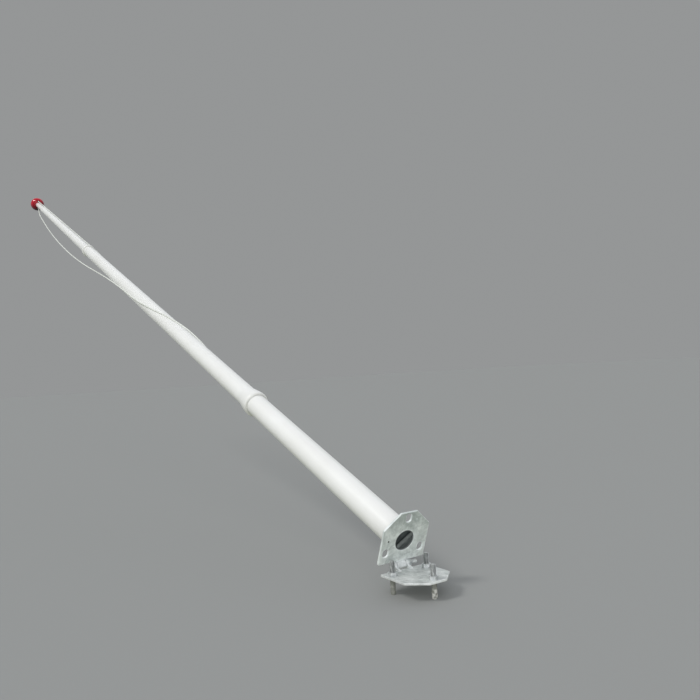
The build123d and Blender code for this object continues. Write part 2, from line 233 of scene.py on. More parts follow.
def capped(grid, high=True):
    """The grid with the middle of its first ring before it, and of its last after it, as closed ends."""
    first, last = (np.broadcast_to(ring.mean(1, keepdims=True), ring.shape)
                   for ring in (grid[:1], grid[-1:]))
    return np.concatenate([first, grid, last] if high else [first, grid])


def moved_in(outline, distance):
    """The outline moved along its own normals, which are its tangents turned a quarter."""
    tangent = unit(np.roll(outline, -1, 0) - np.roll(outline, 1, 0))
    return outline + np.stack([-tangent[:, 1], tangent[:, 0]], -1) * distance


def at_height(outline, height):
    """A flat outline as points at one height."""
    return np.c_[outline, np.full(len(outline), height)]


def rim(outline, low, high, place, inward=1.0, edge=edge_round, rub=edge_rub):
    """The edge of a plate, carried along its outline: a flat margin, a quarter round of sin and
    cos, the side, and the same again. The margin's wear falls from 1 on the round to 0."""
    quarter = np.linspace(0, pi / 2, 4)
    inset = np.r_[rub, edge * (1 - np.sin(quarter)), edge * (1 - np.cos(quarter)), rub]
    height = np.r_[low, low + edge * (1 - np.cos(quarter)), high - edge * (1 - np.sin(quarter)), high]
    wear = np.array([0, 0.7, 1, 1, 0.8, 0.8, 1, 1, 0.7, 0])[:, None]
    rows = [at_height(moved_in(outline, inward * a), b) for a, b in zip(inset, height)]
    return skin(with_wear(place(np.array(rows)), wear))


def face_between(outlines, height, place):
    """Flat face at one height inside the first outline and outside the others, in triangles."""
    flat = np.concatenate(outlines)
    edges, start = [], 0
    for outline in outlines:
        number = start + np.arange(len(outline))
        edges.append(np.stack([number, np.roll(number, -1)], -1))
        start += len(outline)
    edges = np.concatenate(edges).tolist()
    flat, _, faces, *_ = delaunay_2d_cdt([Vector(p) for p in flat], edges, [], 1, 1e-5)
    faces = np.array(faces)
    owner = np.repeat(np.arange(len(outlines)), [len(outline) for outline in outlines])
    owner = np.r_[owner, np.zeros(len(flat) - len(owner), int)][faces]
    across_hole = (owner[:, 0] > 0) & (owner == owner[:, :1]).all(1)
    return at_height(place(at_height(np.array(flat), height)), 0.0), faces[~across_hole]


def plate_skins(outline, holes, low, high, place, edge=edge_round, rub=edge_rub):
    """All skins of a pierced plate: a rim on every outline and a flat face on each side."""
    skins = [rim(outline, low, high, place, 1.0, edge, rub)]
    skins += [rim(hole, low, high, place, -1.0, edge, rub) for hole in holes]
    margins = [moved_in(outline, rub)] + [moved_in(hole, -rub) for hole in holes]
    return skins + [face_between(margins, low, place), face_between(margins, high, place)]


def as_piece(name, mesh, finish, body, nodes):
    """The mesh as a piece that rides on the body and stands for the nodes."""
    piece = added(name, mesh)
    mesh.materials.append(finish)
    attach(piece, body)
    if nodes:
        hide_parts(*nodes)
    return piece


def make_piece(name, skins, finish, body, slot, *nodes, sharp=35, merge=1e-6):
    """One piece of several skins: shared edges are merged, faces turned outwards and shaded smooth
    except over edges sharper than the angle."""
    points = np.concatenate([skin_points for skin_points, _ in skins])
    starts = np.cumsum([0] + [len(skin_points) for skin_points, _ in skins[:-1]])
    faces = [face for start, (_, corners) in zip(starts, skins) for face in (corners + start).tolist()]
    mesh = bpy.data.meshes.new(name)
    mesh.from_pydata(points[:, :3].tolist(), [], faces)
    wear = mesh.attributes.new("wear", "FLOAT", "POINT")
    wear.data.foreach_set("value", points[:, 3].astype(np.float32))
    shell = bmesh.new()
    shell.from_mesh(mesh)
    bmesh.ops.remove_doubles(shell, verts=shell.verts, dist=merge)
    bmesh.ops.recalc_face_normals(shell, faces=shell.faces)
    shell.to_mesh(mesh)
    shell.free()
    mesh.shade_smooth()
    mesh.set_sharp_from_angle(angle=radians(sharp))
    return as_piece(name, mesh, finish, body, nodes)


def laid_out(beside, kind, **values):
    """A new node whose pattern is laid out by the object's own coordinates."""
    node = pattern(beside, kind, **values)
    wire(pattern(beside, "TexCoord"), "Object", node, "Vector")
    return node


def tones(source, out, stops):
    """A row of colours, or of greys, that a pattern's value picks from."""
    ramp = pattern(source, "ValToRGB")
    while len(ramp.color_ramp.elements) < len(stops):
        ramp.color_ramp.elements.new(0.5)
    for element, (place, tone) in zip(ramp.color_ramp.elements, stops):
        element.position = place
        element.color = (*tone, 1.0) if isinstance(tone, tuple) else (tone, tone, tone, 1.0)
    wire(source, out, ramp, "Fac")
    return ramp, "Color"


def wear_with(source, operation):
    """The wear times a pattern, or plus it."""
    joined = pattern(source, "Math", operation=operation)
    wire(pattern(source, "Attribute", attribute_name="wear"), "Fac", joined, 0, source, "Fac", joined, 1)
    return joined, "Value"


def dulled(shader, source, low, high):
    """Roughness between two values, by a pattern."""
    dull = pattern(shader, "MapRange", To_Min=low, To_Max=high)
    wire(source, "Fac", dull, "Value", dull, "Result", shader, "Roughness")


def roughened(shader, source, out, strength, depth):
    """Fine relief by a pattern, as deep as the depth in metres."""
    bump = pattern(shader, "Bump", Strength=strength, Distance=depth)
    wire(source, out, bump, "Height", bump, "Normal", shader, "Normal")


def zinc_coat(name, light, dark, bright, metallic, spangle=120.0, blotch=17.0, roughness=(0.34, 0.62),
              painted_light_axis=None):
    """Galvanised steel: blotches between two greys, crystals a centimetre or so across that differ
    a little in tone, streaks where the zinc ran off, and bare bright metal where the wear is high.
    Given a direction, light is painted in: along it, over 15 cm, the colour goes from lighter
    to darker, as light thrown up from below onto the lower end."""
    finish, shader = new_finish(name, light, 0.45, Metallic=metallic)
    cloud = laid_out(shader, "TexNoise", Scale=blotch, Detail=6.0, Roughness=0.62, Distortion=0.7)
    crystal = laid_out(shader, "TexVoronoi", Scale=spangle)
    drawn_out = laid_out(shader, "Mapping", Scale=(1.0, 5.0, 1.0))
    run = pattern(shader, "TexNoise", Scale=9.0, Detail=4.0, Roughness=0.7)
    grain = laid_out(shader, "TexNoise", Scale=420.0, Detail=4.0, Roughness=0.6)
    wire(drawn_out, "Vector", run, "Vector")
    mottle_and_painted_light = cloud, "Fac"
    # Painted light along the given direction: lighter at its start, darker 15 cm on.
    if painted_light_axis:
        along = laid_out(shader, "VectorMath", operation="DOT_PRODUCT")
        along.inputs[1].default_value = painted_light_axis
        share = pattern(shader, "MapRange", From_Max=0.15, To_Min=0.12, To_Max=-0.10)
        mottle_and_painted_light = pattern(shader, "Math", operation="ADD"), "Value"
        wire(along, "Value", share, "Value", share, "Result", mottle_and_painted_light[0], 0, cloud, "Fac", mottle_and_painted_light[0], 1)
    between = tuple(0.5 * (a + b) for a, b in zip(light, dark))
    ground = tones(*mottle_and_painted_light, [(0.37, dark), (0.50, between), (0.61, light)])
    crystals = tones(crystal, "Color", [(0.0, 0.62), (1.0, 1.0)])
    runs = tones(run, "Fac", [(0.38, 0.78), (0.60, 1.0)])
    base = blended(shader, "MULTIPLY", 0.6, ground, crystals)
    base = blended(shader, "MULTIPLY", 0.55, base, runs)
    base = blended(shader, "MIX", wear_with(cloud, "MULTIPLY"), base, bright)
    wire(*base, shader, "Base Color")
    dulled(shader, cloud, *roughness)
    roughened(shader, grain, "Fac", 0.18, 0.0004)
    return finish


def on_ground(points):
    """Millimetres on the ground plate to metres."""
    return np.asarray(points, float) / 1000


def drop_on(x, y, size, height, level, place, rub=0.8):
    """Low round head or drop on a face: the upper half of an ellipsoid, size cos b across and
    height sin b above the level, closed below by its own flat."""
    lift = np.linspace(0, pi / 2, 7)[:, None]
    dome = swept(size * np.cos(lift), height * np.sin(lift), circle(24)) * (1, 0.8, 1) + (x, y, level)
    return skin(with_wear(capped(place(dome), high=False), rub))


plate_side = [(plate_rear, plate_half_width), (plate_chamfer_x, plate_half_width),
              (plate_front, plate_front_half)]
plate_outline = rounded_outline([(x, -y) for x, y in plate_side] + plate_side[::-1], plate_corner_radius)
plate_holes = [ring_outline(x, y, stud_hole) for x, y in stud_places]
plate_drops = [drop_on(x, y, size, 0.9, plate_thickness - 0.05, on_ground)
               for x, y, size in ((34.0, 9.0, 3.2), (58.0, -38.0, 2.2), (5.0, -22.0, 2.4))]
plate_zinc = zinc_coat("galvanised_plate", (0.90, 0.93, 0.92), (0.52, 0.555, 0.545),
                       (0.95, 0.97, 0.98), 0.22)
make_piece("plate_on_ground",
           plate_skins(plate_outline, plate_holes, 0.0, plate_thickness, on_ground) + plate_drops,
           plate_zinc, "ground", "galvanised_steel", "ground_plate")

# Anchor rods: 16 mm steel rods cast into the footing, plain in the ground and threaded above it,
# bright where nuts have run over them and dull with mortar below, thickest on the front one.
stud_radius = 8.0
thread_radius = 7.75
thread_depth = 1.15
thread_pitch = 2.0
stud_above = 40.5
stud_below = 45.0
mortar_top = -14.0
to_metres = (0.001, 0.001, 0.001, 1.0)


def threaded(high, radius, depth, pitch, chamfer):
    """Grid of a rounded screw thread: the radius falls by depth times a softened sawtooth of
    height / pitch - angle / turn, and the last turn runs out on a cone at each end."""
    height = np.r_[0, np.arange(0.3, high, 0.33), high][:, None]
    angle = circle(32)
    wave = 0.5 + 0.5 * np.cos(2 * pi * height / pitch - angle)
    bare = radius - depth * np.clip(1.35 * wave - 0.18, 0, 1)
    bare = np.minimum(bare, radius - chamfer + np.minimum(height, high - height))
    return capped(with_wear(swept(bare, height, angle), 0.8 - wave * 0.9))


def splashed(grid, amount):
    """Uneven crust: three crossed waves of angle and height about a mean, only from the mortar's
    top on down, where it reaches full strength over another 14 mm."""
    x, y, z = np.moveaxis(grid, -1, 0)
    angle = np.arctan2(y, x)
    crust = (np.sin(2 * angle + z / 5.1) + np.sin(3 * angle - z / 3.3 + 1.0) + np.sin(z / 2.1 + angle)) / 3
    crust = np.clip(crust * 1.1 + 0.5, 0, 1) * amount * np.clip((mortar_top - z) / 14, 0, 1)
    swell = 1 + crust / stud_radius
    return np.stack([x * swell, y * swell, z, crust], -1)


rod_steel = zinc_coat("rod_zinc", (0.58, 0.60, 0.60), (0.33, 0.345, 0.34), (0.90, 0.92, 0.92), 0.8,
                      spangle=260.0, blotch=60.0, roughness=(0.22, 0.42))
mortar, shader = new_finish("mortar_on_rod", (0.50, 0.48, 0.44), 0.8, Metallic=0.15)
grit = laid_out(shader, "TexNoise", Scale=700.0, Detail=5.0, Roughness=0.7)
cloud = laid_out(shader, "TexNoise", Scale=130.0, Detail=4.0, Distortion=0.5)
base = blended(shader, "MIX", tones(*wear_with(cloud, "ADD"), [(0.52, 0.0), (1.0, 1.0)]),
               tones(grit, "Fac", [(0.3, (0.19, 0.195, 0.175)), (0.7, (0.28, 0.285, 0.26))]),
               tones(grit, "Fac", [(0.3, (0.52, 0.515, 0.49)), (0.7, (0.72, 0.71, 0.68))]))
wire(*base, shader, "Base Color")
roughened(shader, grit, "Fac", 0.5, 0.0006)

for name, (x, y), crust in zip(stud_names, stud_places, (0.9, 0.0, 0.0)):
    thread = threaded(plate_thickness + stud_above, thread_radius, thread_depth, thread_pitch, 1.4)
    rise = np.r_[-stud_below, -stud_below + 1.5, np.linspace(-stud_below + 3, -0.6, 60), 0.0][:, None]
    radius = stud_radius - np.where(rise < -stud_below + 0.1, 1.5, 0.9)
    shank = capped(splashed(swept(radius, rise, circle(48)), crust))
    rod = make_piece("rod_" + name, [skin((grid + (x, y, 0, 0)) * to_metres) for grid in (thread, shank)],
                     rod_steel, "ground", "anchor_rod_steel", "anchor_rod_" + name, sharp=50)
    rod.data.materials.append(mortar)
    low = np.array([polygon.center.z < -1e-4 for polygon in rod.data.polygons])
    rod.data.polygons.foreach_set("material_index", low.astype(np.int32))

# Spacer nuts: forged hexagon nuts turned down on the plate, which hold the flange at one level.
# Their corners are turned off at 30 degrees, and they are zinc plated, so brighter than the plate.
nut_flats = 24.0
nut_height = 10.5
nut_bore = 7.85


def hexagon(flats, height, bore=0.0):
    """Grid of a hexagon nut or head: the outside is the smaller of the hexagon, flats / 2 over the
    cosine to the nearest flat, and a cone that rises at 30 degrees from the flats at each face."""
    angle = circle(72)
    hexed = flats / 2 / np.cos((angle + pi / 6) % (pi / 3) - pi / 6)
    lift = np.r_[0, 0, 0.25, 0.6, 1.1, 1.8, 2.4]
    rows = np.r_[lift, height - lift[::-1]][:, None]
    radius = np.minimum(hexed, flats / 2 - 0.6 + sqrt(3) * np.minimum(rows, height - rows))
    radius[0] = radius[-1] = bore + 0.9 if bore else flats * 0.36
    wear = np.clip((hexed / (flats / 2) - 1.05) * 9, 0, 1) + 0 * rows
    if not bore:
        return skin(capped(with_wear(swept(radius, rows, angle), wear)))
    inside = np.array([(bore + 0.9, height), (bore, height - 0.9), (bore, 0.9), (bore + 0.9, 0.0)])
    radius = np.concatenate([radius, inside[:, :1] + 0 * angle])
    rows = np.concatenate([rows, inside[:, 1:]])
    wear = np.concatenate([wear, np.zeros((len(inside), angle.size))])
    return skin(with_wear(swept(radius, rows, angle), wear), wrap_rows=True)


def turned(points, angle):
    """The points turned about the third axis."""
    x, y, *rest = np.moveaxis(np.asarray(points, float), -1, 0)
    return np.stack([x * cos(angle) - y * sin(angle), x * sin(angle) + y * cos(angle), *rest], -1)


bright_zinc = zinc_coat("bright_zinc", (0.84, 0.87, 0.87), (0.62, 0.65, 0.66), (0.95, 0.97, 0.97), 0.6,
                        spangle=300.0, blotch=70.0, roughness=(0.22, 0.42))
for name, (x, y), turn in zip(stud_names, stud_places, (8, 41, 22)):
    points, faces = hexagon(nut_flats, nut_height, nut_bore)
    points = (turned(points, radians(turn)) + (x, y, plate_thickness, 0)) * to_metres
    make_piece("nut_" + name, [(points, faces)], bright_zinc, "ground", "zinc_fastener", "spacer_nut_" + name,
               sharp=24)

# Hinge ears: two short flame-cut lugs welded to the rear edge and the top of the ground plate
# before galvanising, drilled for the hinge bolt. The beads stay as lumpy, silvery ridges.
hinge_x = -79.0
hinge_z = 15.5
pin_radius = 6.0
ear_inner = 17.0
ear_outer = 25.0
lug_edge = 0.7
lug_rub = 0.95
bead_ridge = 2.2
ear_corners = [(-66, 0), (-66, 6), (-52, 6), (-52, 8.7), (-66, 14), (-68, 15.5), (-68, 26.5), (-90, 26.5),
               (-90, 6), (-84.5, 0)]
ear_outline = rounded_outline(ear_corners, [1.0, 0.3, 1.0, 1.0, 2.0, 0.8, 10.95, 10.95, 2.0, 1.0])


def ringed(path, radius, angle, side, lift):
    """Rings along a path: radius cos a to its side and radius sin a to its lift."""
    aside, above = (radius * np.cos(angle))[..., None], (radius * np.sin(angle))[..., None]
    return path[:, None] + aside * side + above * lift


def bead(start, end, radius, ref, place, seed):
    """Weld bead: a round rod along its run whose radius rises and falls once a ridge, with a slow
    wander, and whose ends close on half an ellipse."""
    start, end = np.asarray(start, float), np.asarray(end, float)
    length = np.linalg.norm(end - start)
    along = np.linspace(0, 1, max(12, int(length / 0.5)))[:, None]
    s = along * length
    reach = np.sqrt(np.clip(1 - ((2 * s - length) / length) ** 8, 0, 1))
    swell = 1 + 0.10 * np.abs(np.sin(pi * s / bead_ridge + seed)) + 0.10 * np.sin(s / 3.7 + seed)
    tangent = (end - start) / length
    side = unit(np.cross(tangent, ref))
    rings = ringed(start + (end - start) * along, radius * swell * reach, circle(20),
                   side, np.cross(side, tangent))
    return skin(with_wear(place(rings), 0.6 + 0.4 * np.sin(pi * s / bead_ridge) ** 2))


def on_ear(points):
    """The ears are drawn from the side."""
    return on_ground(points[..., [0, 2, 1]])


weld_zinc = zinc_coat("weld_zinc", (0.92, 0.94, 0.94), (0.76, 0.79, 0.79), (0.96, 0.99, 1.0), 0.22,
                      spangle=160.0, blotch=50.0, roughness=(0.3, 0.55))
for name, side in (("left", -1), ("right", 1)):
    low, high = sorted((side * ear_inner, side * ear_outer))
    ear_hole = ring_outline(hinge_x, hinge_z, pin_radius + 0.2)
    make_piece("ear_" + name, plate_skins(ear_outline, [ear_hole], low, high, on_ear, lug_edge, lug_rub),
               weld_zinc, "ground", "galvanised_steel", "hinge_ear_" + name)
    flanks = side * (ear_inner - 0.4), side * (ear_outer + 0.4)
    beads = [bead((-65.5, y, 6.2), (-51.5, y, 6.2), 2.0, (0, 0, 1), on_ground, n)
             for n, y in enumerate(flanks, 1)]
    beads += [bead((-51.8, low, 6.4), (-51.8, high, 6.4), 1.9, (0, 0, 1), on_ground, 3)]
    beads += [bead((-66.3, y, 0.8), (-66.3, y, 5.6), 1.7, (1, 0, 0), on_ground, 4) for y in flanks]
    make_piece("weld_at_ear_" + name, beads, weld_zinc, "ground", "galvanised_steel", sharp=60)

# Hinge bolt: a 12 mm hexagon bolt through ears and knuckle, its head to the left, and a nut on
# the right with a long tail of thread beyond it. Zinc plated, with no mark on the head.
pin_head_flats = 19.0
pin_head_height = 7.5
pin_nut_height = 10.8
pin_tail = 22.0
pin_shank = pin_radius - 0.05


def on_pin(shape, start):
    """Along the hinge pin: the drawing's height runs to the right from the start, in metres."""
    (x, y, z, wear), faces = shape[0].T, shape[1]
    return np.c_[(hinge_x + x) / 1000, (start + z) / 1000, (hinge_z + y) / 1000, wear], faces


shank_rows = np.array([0.0, 10.0, 30.0, 2 * ear_outer])[:, None]
tail = threaded(pin_nut_height + pin_tail, pin_shank, 0.9, 1.75, 1.2)
make_piece("bolt_in_hinge", [on_pin(hexagon(pin_head_flats, pin_head_height), -ear_outer - pin_head_height),
                             on_pin(skin(capped(swept(pin_shank, shank_rows, circle(40)))), -ear_outer),
                             on_pin(skin(tail), ear_outer)],
           bright_zinc, "ground", "zinc_fastener", "hinge_bolt", sharp=40)
make_piece("nut_on_hinge", [on_pin(hexagon(pin_head_flats, pin_nut_height, pin_radius + 0.1), ear_outer)],
           bright_zinc, "ground", "zinc_fastener", "hinge_nut", sharp=24)

# Flange: the twin of the ground plate on the foot of the pole, with three slots that let the
# rods swing in as the pole comes up and a round hole over the tube. Laser cut, welded to the
# tube and galvanised with it, with a drop of zinc or two left on its face.
lean = radians(68.0)
flange_bottom = 16.8
slot_width = 20.0
slot_length = 27.54
slot_places = [(71.54, 0.0), (-30.73, -60.62), (-30.73, 60.62)]
plug_hole = 32.0


def lean_back(points):
    """Upright on the pole, (towards the front, across, up from the flange's underside), to metres
    in the model's frame: turned by the lean about the hinge pin, with its cosine and sine."""
    u, y, t = np.moveaxis(np.asarray(points, float), -1, 0)
    u, t = u - hinge_x, t + flange_bottom - hinge_z
    return np.stack([hinge_x + u * cos(lean) - t * sin(lean), y,
                     hinge_z + u * sin(lean) + t * cos(lean)], -1) / 1000


def slot_outline(x, y, length, width, count=36):
    """Closed slot: a circle of half its width, pulled apart along x by the rest of its length."""
    angle = circle(count)[0] + pi / count
    return np.stack([x + np.sign(np.cos(angle)) * (length - width) / 2 + width / 2 * np.cos(angle),
                     y + width / 2 * np.sin(angle)], -1)


# Painted light on the flange: lighter over its hinge half, nearest the ground plate, darkening towards its
# front edge.
flange_zinc = zinc_coat("galvanised_flange", (0.93, 0.98, 0.96), (0.56, 0.62, 0.60),
                        (0.92, 0.97, 0.99), 0.15, painted_light_axis=(cos(lean), 0.0, sin(lean)))
flange_holes = [ring_outline(0, 0, plug_hole, 64)]
flange_holes += [slot_outline(x, y, slot_length, slot_width) for x, y in slot_places]
flange_drops = [drop_on(x, y, size, -0.9, 0.05, lean_back)
                for x, y, size in ((63.4, 30.1, 3.4), (-48.0, 22.0, 2.2))]
make_piece("flange_on_foot",
           plate_skins(plate_outline, flange_holes, 0.0, plate_thickness, lean_back) + flange_drops,
           flange_zinc, "pole", "galvanised_steel", "flange_plate")

# Knuckle: a short thick tube on a tab, welded to the rear edge of the flange, that turns on the
# hinge bolt between the ears. Galvanised with the flange.
knuckle_half = 15.0
knuckle_corners = [(-90, 4.5), (-68, 4.5), (-68, 16.8), (-66, 16.8), (-66, 22.8), (-79, 26.5), (-90, 26.5)]
knuckle_outline = rounded_outline(knuckle_corners, [10.9, 10.9, 0.25, 1.0, 1.0, 3.0, 10.6])


def on_knuckle(points):
    """The knuckle is drawn from the side, with its heights above the ground plate's underside."""
    return lean_back(points[..., [0, 2, 1]] - (0, 0, flange_bottom))


knuckle_bore = ring_outline(hinge_x, hinge_z, pin_radius + 0.08)
make_piece("knuckle_on_flange",
           plate_skins(knuckle_outline, [knuckle_bore], -knuckle_half, knuckle_half, on_knuckle,
                       lug_edge, lug_rub),
           weld_zinc, "pole", "galvanised_steel", "hinge_knuckle")
make_piece("weld_at_knuckle",
           [bead(start, end, radius, ref, lean_back, seed) for start, end, radius, ref, seed in (
               ((-66.6, -14.5, 0.3), (-66.6, 14.5, 0.3), 2.0, (1, 0, 0), 1),
               ((-66.4, -14.8, 6.2), (-66.4, 14.8, 6.2), 2.2, (1, 0, 0), 2),
               ((-66.4, -15.2, 0.8), (-66.4, -15.2, 5.6), 1.8, (0, 1, 0), 3),
               ((-66.4, 15.2, 0.8), (-66.4, 15.2, 5.6), 1.8, (0, 1, 0), 4))],
           weld_zinc, "pole", "galvanised_steel", sharp=60)
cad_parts["foot_stub"].material_slots[0].material = plate_zinc

# Plug: a moulded black plastic lid pushed into the hole of the flange from below, dished, with
# one straight finger rib across it and a raised rim. Scuffed dull, and lighter in a band on one
# side of the rib. A small stopper of the same plastic closes the flange's vent beside it.
plug_radius = 31.7
plug_recess = 4.0
rib_width = 9.0
rib_depth = 3.0
rib_turn = radians(39)
rib_reach = 27.6
stopper_place = (6.8, -57.6)
stopper_radius = 3.3
black_plastic, shader = new_finish("black_plastic", (0.022, 0.024, 0.026), 0.45)
grain = laid_out(shader, "TexNoise", Scale=900.0, Detail=3.0)
dust = laid_out(shader, "TexNoise", Scale=45.0, Detail=6.0, Roughness=0.7)
rubbed = pattern(shader, "Attribute", attribute_name="wear")
dusty = pattern(shader, "Math", operation="MULTIPLY_ADD")
dusty.inputs[1].default_value = 0.55
wire(rubbed, "Fac", dusty, 0, dust, "Fac", dusty, 2)
shade = [(0.35, (0.024, 0.030, 0.032)), (0.70, (0.060, 0.070, 0.070)), (1.0, (0.17, 0.185, 0.185))]
wire(*tones(dusty, "Value", shade), shader, "Base Color")
dulled(shader, dust, 0.32, 0.62)
roughened(shader, grain, "Fac", 0.15, 0.0003)

# From the middle of the face to the middle of the back: radius, rise above the recess, wear.
plug_rows = [(0.01, 0, 0), (7.0, 0, 0), (13.0, 0, 0), (19.0, 0, 0), (24.0, 0, 0), (rib_reach, 0.2, 0.1),
             (28.6, 0.9, 0.3), (29.2, 2.2, 0.6), (29.9, 2.9, 0.9), (30.9, 2.9, 0.9), (31.5, 2.4, 0.7),
             (plug_radius, 1.4, 0.2), (plug_radius, -1.9, 0), (plug_radius, -2, 0), (30.0, -5, 0),
             (0.01, -5, 0)]
angle = circle(96)
radius, rise, wear = np.array(plug_rows).T[..., None]
below_rib = radius * (sin(rib_turn) * np.sin(angle) - cos(rib_turn) * np.cos(angle))
# Lighter in a band on one side of the rib, fading over 20 mm from it, inside the dish.
lighter_below_rib = 0.55 * np.clip(below_rib / 4, 0, 1) * np.clip(1.5 - below_rib / 20, 0, 1) * (radius < 25)
dish = skin(with_wear(lean_back(swept(radius, plug_recess - rise, angle)), wear + lighter_below_rib))
rib_outline = turned(slot_outline(0, 0, 2 * rib_reach, rib_width), pi / 2 - rib_turn)
rib_rows = [(0, -0.5, 0), (0, 1.4, 0.2), (0.35, 2.4, 0.9), (1.1, rib_depth, 1.0), (3.6, rib_depth, 0.85)]
rib = np.array([at_height(moved_in(rib_outline, -inset), plug_recess - rise) for inset, rise, _ in rib_rows])
rib = skin(capped(with_wear(lean_back(rib), np.array([wear for *_, wear in rib_rows])[:, None])))
make_piece("plug_in_flange", [dish, rib], black_plastic, "pole", "black_plastic", "foot_plug", sharp=50)
stopper = drop_on(*stopper_place, stopper_radius, -0.8, 0.05, lean_back, 0.0)
make_piece("stopper_in_flange", [stopper], black_plastic, "pole", "black_plastic")

# Pole sections: three tapered glass-fibre tubes under a thick white gelcoat, wound on a steel
# core and polished. Each upper one is belled out by hand over the end of the one below.
wall = 3.5
foot_radius = 43.4
base_top_radius = 41.2
middle_foot_radius = 40.6
middle_top_radius = 35.0
top_foot_radius = 30.2
tip_radius = 20.5
joint_1 = 996.0
joint_2 = 3870.0
tube_end = 5954.0
seat = 6.0
bell_depth = 54.0
bell_flare = 88.0
bell_gap = 0.4
crest_rise = 26.0
rim_nose = 10.0
tube_sides = 128

gelcoat, shader = new_finish("white_gelcoat", (0.88, 0.88, 0.87), 0.24, Coat_Weight=0.25, Coat_Roughness=0.16)
cloud = laid_out(shader, "TexNoise", Scale=5.0, Detail=5.0, Roughness=0.6)
peel = laid_out(shader, "TexNoise", Scale=230.0, Detail=2.0)
specks = laid_out(shader, "TexVoronoi", Scale=150.0)
shade_and_dirt_patches = laid_out(shader, "TexNoise", Scale=60.0, Detail=6.0, Roughness=0.7)
white = blended(shader, "MULTIPLY", 0.35,
                tones(cloud, "Fac", [(0.3, (0.84, 0.84, 0.825)), (0.7, (0.89, 0.895, 0.89))]),
                tones(specks, "Distance", [(0.03, 0.88), (0.07, 1.0)]))
# Painted shade mixed with dirt: olive-grey in patches wherever the wear value is set, which on the pole is
# next to the flange and in the crease at each bell's rim.
white = blended(shader, "MIX", wear_with(shade_and_dirt_patches, "MULTIPLY"), white, (0.36, 0.35, 0.29))
wire(*white, shader, "Base Color")
dulled(shader, cloud, 0.24, 0.40)
roughened(shader, peel, "Fac", 0.015, 0.0004)


def softened(heights, points, reach):
    """Straight runs between (height, radius) points, evened out by averaging over the reach."""
    steps = np.linspace(-reach, reach, 41)
    weights = np.cos(np.linspace(-pi / 2, pi / 2, 41)) ** 2
    knots, radii = np.array(points).T
    low = (radii[1] - radii[0]) / (knots[1] - knots[0])
    high = (radii[-1] - radii[-2]) / (knots[-1] - knots[-2])
    at = heights[:, None] + steps
    value = np.interp(at, knots, radii)
    value += np.where(at < knots[0], (at - knots[0]) * low, 0)
    value += np.where(at > knots[-1], (at - knots[-1]) * high, 0)
    return (value * weights).sum(1) / weights.sum()


def tube_skin(heights, outer, inner_heights, inner, shade_and_dirt):
    """A wall of revolution: outside up, inside down, closed at both ends. The outside's radius may
    differ round each ring."""
    angle = circle(tube_sides)
    radius = np.concatenate([outer + 0 * angle, inner[::-1, None] + 0 * angle])
    grid = lean_back(swept(radius, np.r_[heights, inner_heights[::-1]][:, None], angle))
    return skin(with_wear(grid, np.r_[shade_and_dirt, 0 * inner][:, None]), wrap_rows=True)


base_end = joint_1 + bell_depth
rise = np.r_[seat, seat + 0.5, seat + 2, seat + 6, seat + 14, seat + 30,
             np.linspace(60, base_end - 2, 24), base_end]
outer = foot_radius + (base_top_radius - foot_radius) * (rise - seat) / (base_end - seat)
outer[0] -= 0.5
# Painted shade mixed with dirt where the tube meets the flange, fading over 16 mm.
crease_shade_and_dirt = np.exp(-(rise - seat) / 16.0) * 0.9
make_piece("pole_base", [tube_skin(rise, outer[:, None], rise, outer - wall, crease_shade_and_dirt)],
           gelcoat, "pole", "white_gelcoat", "base_section")


def hand_ripples(s, size, pitch, places, lie):
    """Laminate ripples at heights s over a joint: a wave of height plus a share of the angle, so
    that they lie aslant, under a bell curve of height near the rim and of angle about each place."""
    near_rim = np.exp(-((s - crest_rise) / 20.0) ** 2) * np.clip(s / 8.0, 0, 1)
    total = 0.0
    for centre, spread in places:
        off = (circle(tube_sides) - centre + pi) % (2 * pi) - pi
        total = total + np.exp(-(off / spread) ** 2) * np.sin(2 * pi * s / pitch + lie * off)
    return size * near_rim * total


def bell_section(name, node, joint, lower, rise_of_rim, foot, end, end_radius, ripples, shade_and_dirt):
    """A belled section: rim, crest, flare and long taper as softened straight runs, a rim rounded
    off on a quarter ellipse, and a bore that fits the section below."""
    flare = joint + bell_flare
    near = joint + np.r_[0, 0.1, 0.35, 0.8, 1.4, 2.2, 3.2, 4.4, 5.8, 7.3, 9,
                         np.linspace(10.6, bell_flare + 40, 76)]
    far = np.linspace(flare + 60, end, 44)
    heights = np.r_[near, far]
    rim_radius = lower + rise_of_rim
    runs = [(joint, rim_radius), (joint + crest_rise, rim_radius - 1.2), (flare, foot), (end, end_radius)]
    nose = np.clip(1 - (heights - joint) / rim_nose, 0, 1)
    outer = softened(heights, runs, 17.0) - (rise_of_rim - 0.9) * (1 - np.sqrt(1 - nose ** 2))
    outer = outer[:, None] + hand_ripples(heights[:, None] - joint, *ripples)
    bore = lower + bell_gap
    inner_heights = np.r_[joint, joint + 0.8, joint + bell_depth, joint + bell_depth + 3, flare, far]
    inner = np.r_[bore + 0.8, bore, bore, bore - 1.0, foot - wall,
                  foot + (end_radius - foot) * (far - flare) / (end - flare) - wall]
    # Painted shade mixed with dirt in the crease at the bell's rim, fading over 5 mm.
    crease_shade_and_dirt = shade_and_dirt * np.exp(-(heights - joint) / 5.0)
    make_piece(name, [tube_skin(heights, outer, inner_heights, inner, crease_shade_and_dirt)],
               gelcoat, "pole", "white_gelcoat", node)


bell_section("pole_middle", "middle_section", joint_1, lower=41.31, rise_of_rim=10.0,
             foot=middle_foot_radius, end=joint_2 + bell_depth, end_radius=middle_top_radius,
             ripples=(0.75, 15.0, [(pi * 1.12, 0.42), (pi * 0.55, 0.2)], 2.2), shade_and_dirt=0.55)
bell_section("pole_top", "top_section", joint_2, lower=35.11, rise_of_rim=8.5,
             foot=top_foot_radius, end=tube_end, end_radius=tip_radius,
             ripples=(0.55, 13.0, [(pi * 0.9, 0.38), (pi * 1.6, 0.25)], -1.8), shade_and_dirt=0.5)
